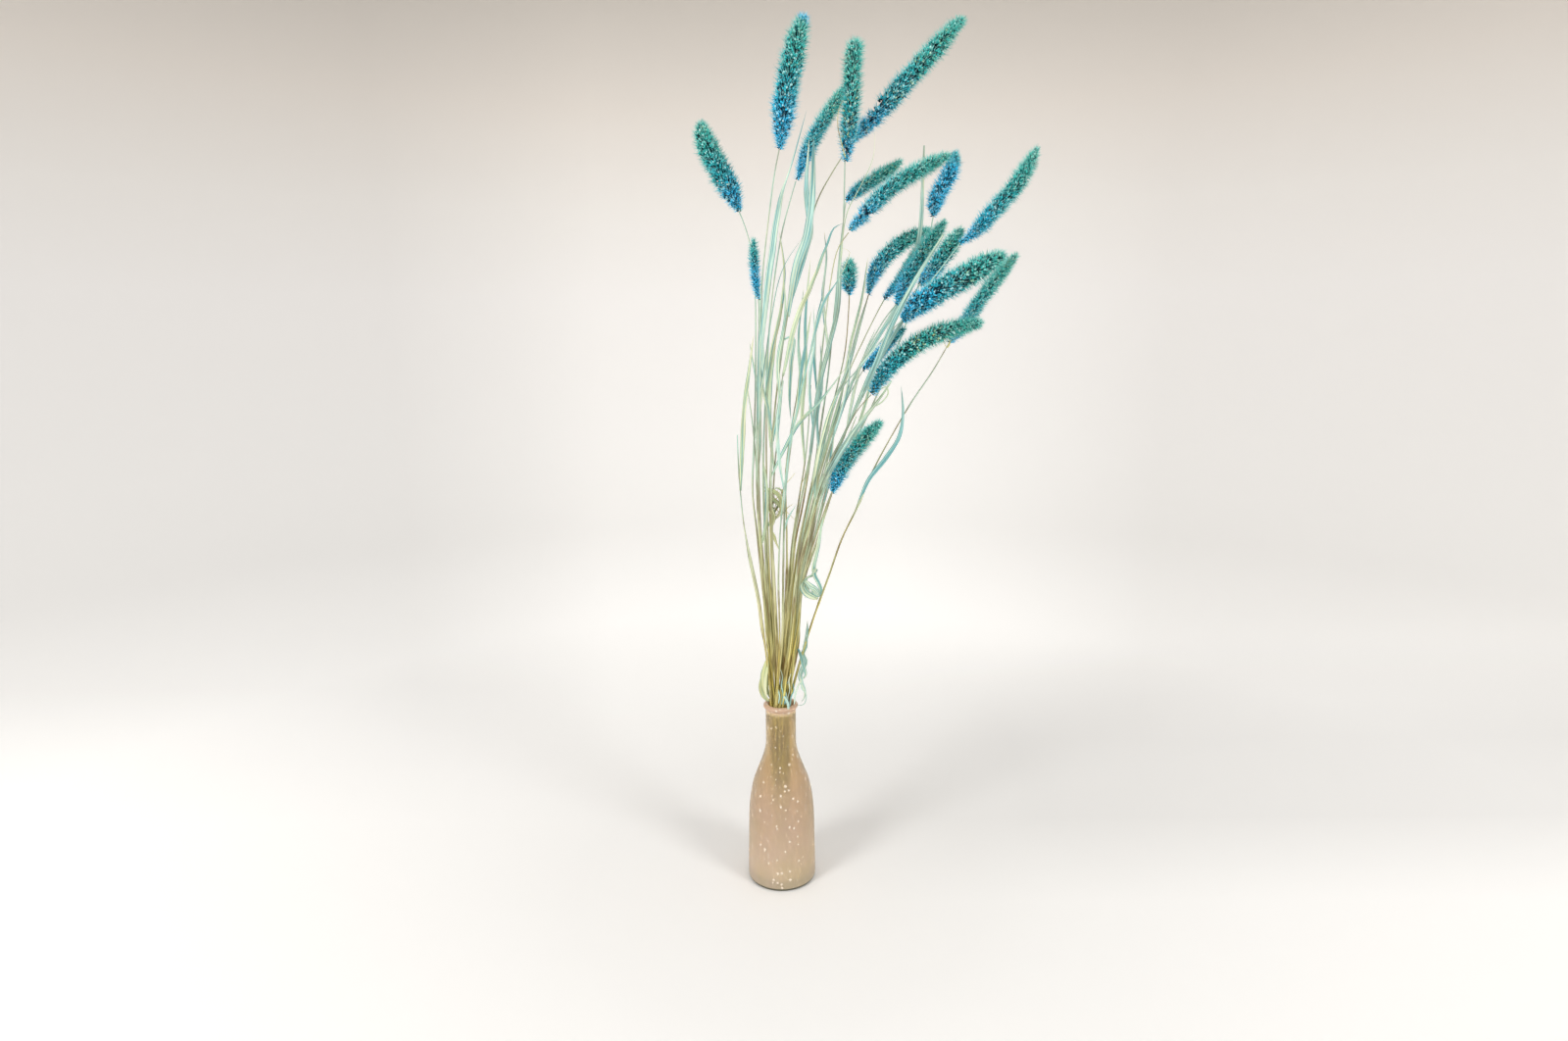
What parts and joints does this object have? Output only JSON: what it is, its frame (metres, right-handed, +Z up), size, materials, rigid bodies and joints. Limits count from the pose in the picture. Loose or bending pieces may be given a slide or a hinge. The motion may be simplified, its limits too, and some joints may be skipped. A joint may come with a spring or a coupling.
{
  "type": "dried setaria in vase",
  "caption": "Bunch of dried, dyed foxtail grass heads on thin stems with narrow leaves, standing in a frosted glass bottle vase.",
  "frame": {"origin": "middle of the vase's flat base", "axes": "+Z up along the vase's axis; -Y is the front, the side that the picture shows"},
  "size_m": [0.283, 0.2132, 0.7914],
  "materials": {
    "glass": "frosted, translucent, salmon-beige",
    "seed_head": "dyed, bristly and matte, blue at the base to green-teal at the tip",
    "stem": "dry grass stem, straw to olive, silky",
    "leaf": "dry grass leaf, pale mint to straw"
  },
  "bodies": {
    "root": {"vase": "glass", "stem_a": "stem", "stem_b": "stem", "stem_c": "stem", "stem_d": "stem", "stem_e": "stem", "stem_f": "stem", "stem_g": "stem", "stem_h": "stem", "stem_i": "stem", "stem_j": "stem", "stem_k": "stem", "stem_l": "stem", "stem_m": "stem", "stem_n": "stem", "stem_o": "stem", "stem_p": "stem", "stem_q": "stem", "stem_r": "stem", "stem_s": "stem", "stem_t": "stem", "head_a": "seed_head", "head_b": "seed_head", "head_c": "seed_head", "head_d": "seed_head", "head_e": "seed_head", "head_f": "seed_head", "head_g": "seed_head", "head_h": "seed_head", "head_i": "seed_head", "head_j": "seed_head", "head_k": "seed_head", "head_l": "seed_head", "head_m": "seed_head", "head_n": "seed_head", "head_o": "seed_head", "head_p": "seed_head", "head_q": "seed_head", "head_r": "seed_head", "head_s": "seed_head", "head_t": "seed_head", "leafy_stem_1": "leaf", "leafy_stem_2": "leaf", "leafy_stem_3": "leaf", "leafy_stem_4": "leaf", "leafy_stem_5": "leaf", "leafy_stem_6": "leaf", "leafy_stem_7": "leaf", "leafy_stem_8": "leaf", "leafy_stem_9": "leaf", "leafy_stem_10": "leaf", "leafy_stem_11": "leaf", "leafy_stem_12": "leaf", "leafy_stem_13": "leaf"}
  },
  "joints": []
}
